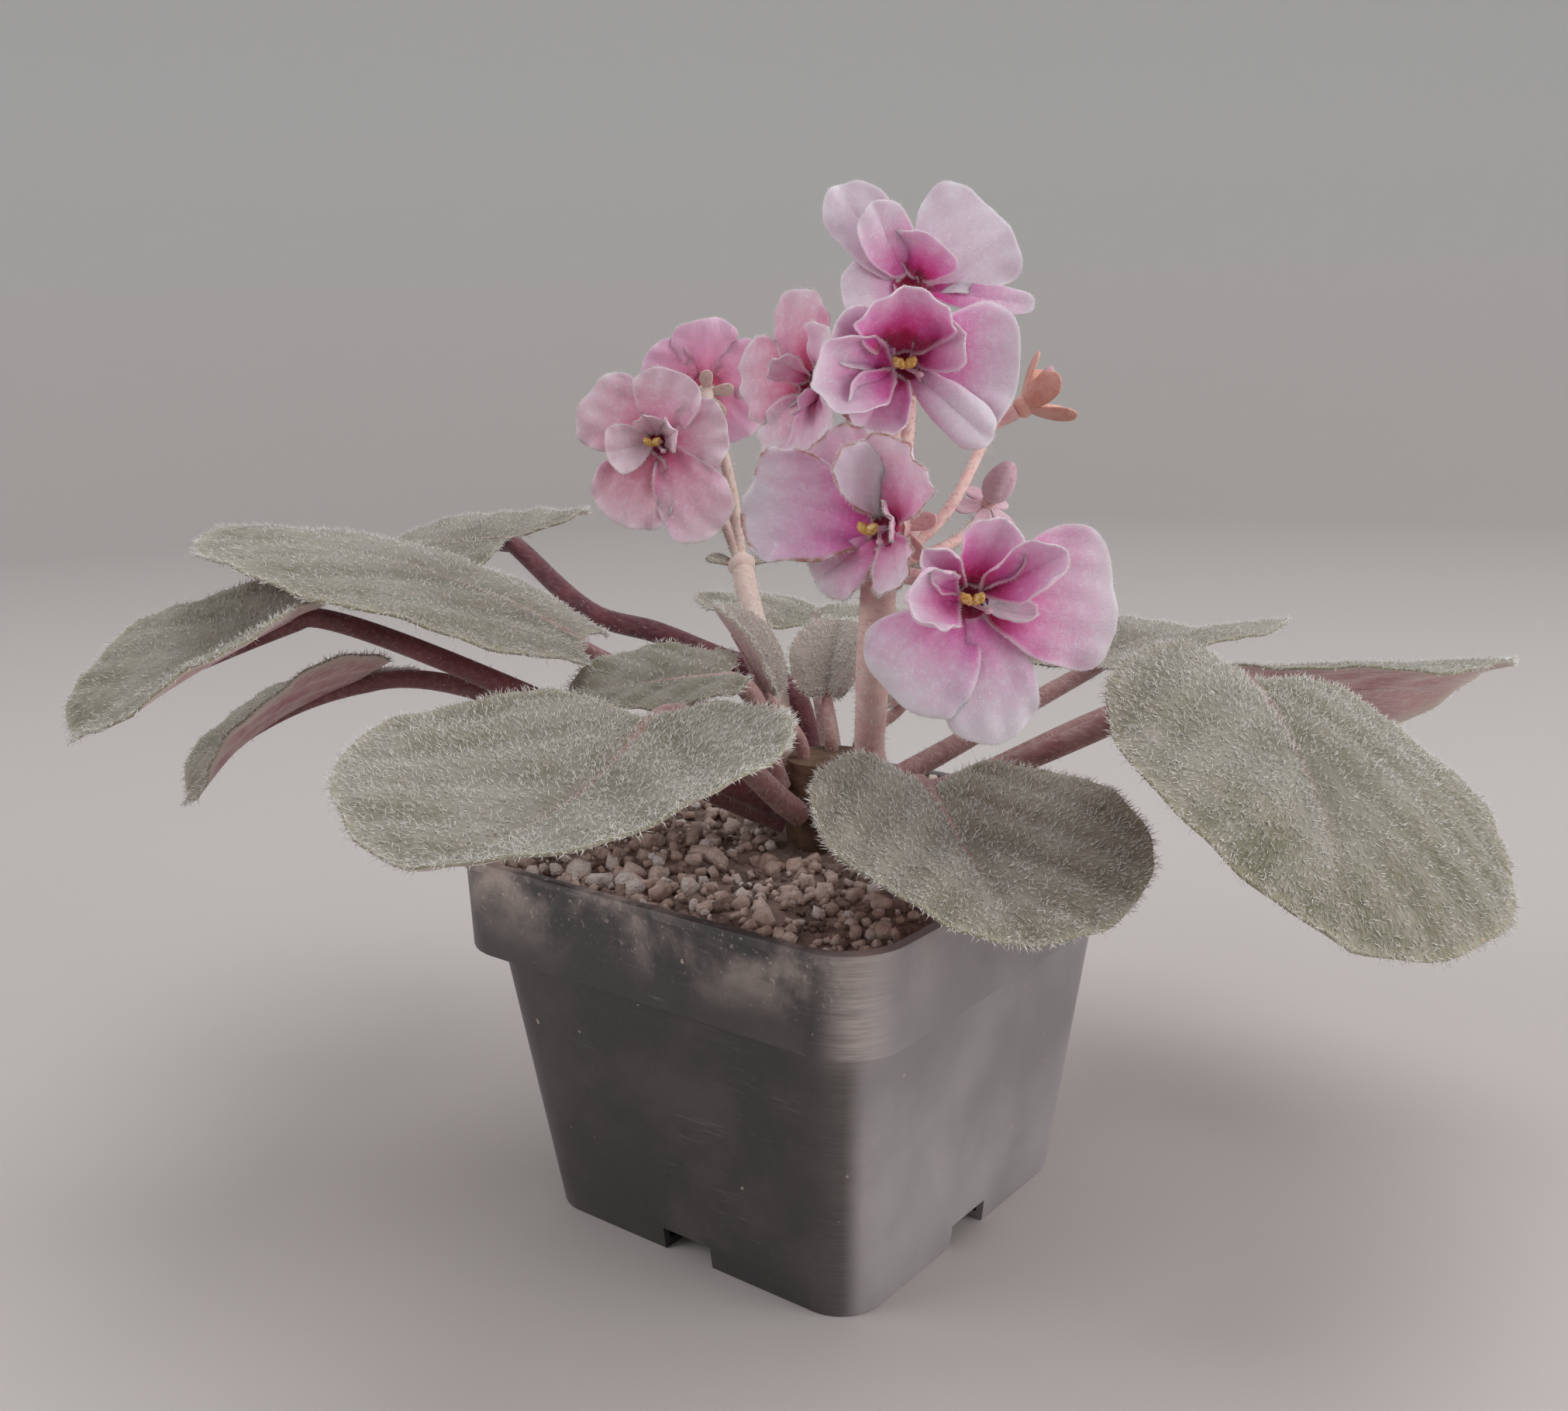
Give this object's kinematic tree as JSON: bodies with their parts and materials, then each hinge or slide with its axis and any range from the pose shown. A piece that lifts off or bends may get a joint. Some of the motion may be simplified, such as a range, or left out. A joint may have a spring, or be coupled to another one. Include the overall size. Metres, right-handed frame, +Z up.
{
  "type": "potted african violet",
  "caption": "Houseplant in a small square nursery pot: a rosette of hairy heart-shaped leaves round two branched stalks of double pink blooms.",
  "frame": {"origin": "centre of the pot's base, on the surface that the pot stands on", "axes": "+Z up, square to the base; X and Y square to the pot's sides"},
  "size_m": [0.211, 0.1813, 0.1511],
  "materials": {
    "pot": "thin black moulded plastic, dusty and scuffed, glossier on the rim",
    "soil": "dark moist potting mix with crumbs of bark and white perlite",
    "crown": "corky brown stem with leaf scars",
    "leaf": "grey-green, quilted, thick white hairs, maroon stalk and underside",
    "flower_stalk": "salmon brown, hairy",
    "petal": "soft pink petals, magenta towards the throat, pale edges",
    "anther": "smooth yellow pollen sacs",
    "spent_calyx": "withered, brownish salmon, hairy",
    "bud": "closed pink bud, hairy"
  },
  "bodies": {
    "root": {"anthers_left": "anther", "anthers_left_back": "anther", "anthers_low_left": "anther", "anthers_low_right": "anther", "anthers_middle": "anther", "bloom_left": "petal", "bloom_left_back": "petal", "bloom_low_left": "petal", "bloom_low_right": "petal", "bloom_middle": "petal", "bloom_side": "petal", "bloom_top": "petal", "bud": "bud", "crown": "crown", "flower_stalk_back": "flower_stalk", "flower_stalk_front": "flower_stalk", "leaf_back": "leaf", "leaf_back_far": "leaf", "leaf_back_left": "leaf", "leaf_back_right": "leaf", "leaf_far_left": "leaf", "leaf_front": "leaf", "leaf_front_left": "leaf", "leaf_inner_left": "leaf", "leaf_left": "leaf", "leaf_low_left": "leaf", "leaf_right": "leaf", "leaf_young_back": "leaf", "leaf_young_left": "leaf", "leaf_young_right": "leaf", "pot": "pot", "soil": "soil", "spent_calyx": "spent_calyx"}
  },
  "joints": []
}
